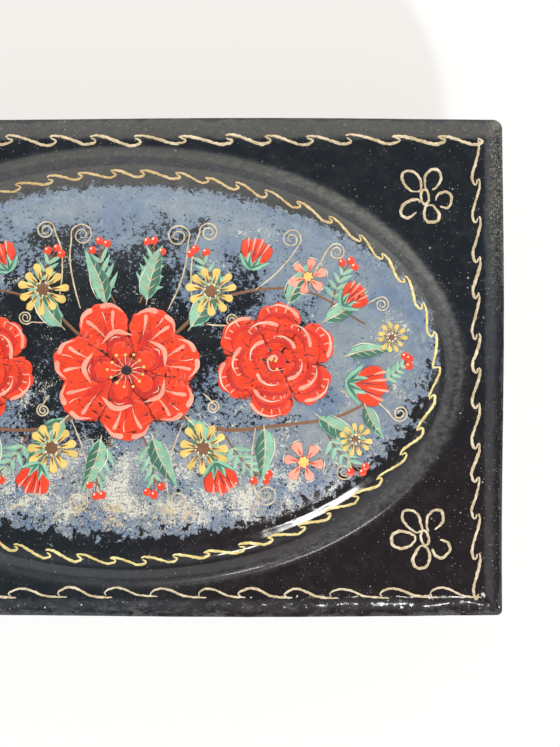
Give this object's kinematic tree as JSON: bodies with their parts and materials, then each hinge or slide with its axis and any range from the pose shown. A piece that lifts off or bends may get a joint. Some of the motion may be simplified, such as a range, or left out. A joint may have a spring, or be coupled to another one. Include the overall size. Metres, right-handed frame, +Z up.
{
  "type": "hinged lacquer box",
  "caption": "Oblong papier-mache lacquer box with a hinged lid, a raised oval dome with an ogee moulding on it, and a lip inside that seats the lid.",
  "frame": {"origin": "middle of the underside of the base board, on the surface that the closed box stands on", "axes": "+X to the right along the long side, +Y from the front to the hinged back, +Z up"},
  "size_m": [0.105, 0.07, 0.0368],
  "materials": {
    "black_lacquer": "gloss",
    "red_lacquer": "gloss",
    "brass": "satin",
    "gold_paint": "satin",
    "bright_paint": "gloss"
  },
  "bodies": {
    "base": {"base_board": "black_lacquer", "base_wall": "black_lacquer", "liner_front": "red_lacquer", "liner_back": "red_lacquer", "liner_left": "red_lacquer", "liner_right": "red_lacquer", "hinge_left_base_leaf": "brass", "hinge_right_base_leaf": "brass", "hinge_left_wire": "brass", "hinge_right_wire": "brass", "base_leaf_nails": "brass"},
    "lid": {"lid_ring": "black_lacquer", "lid_panel": "black_lacquer", "hinge_left_lid_leaf": "brass", "hinge_right_lid_leaf": "brass", "lid_leaf_nails": "brass"}
  },
  "joints": [
    {"name": "lid_hinge", "type": "hinge", "parent": "base", "child": "lid", "pos_m": [0, 0.0327, 0.02426], "axis": [-1, 0, 0], "range_deg": [0, 98]}
  ]
}
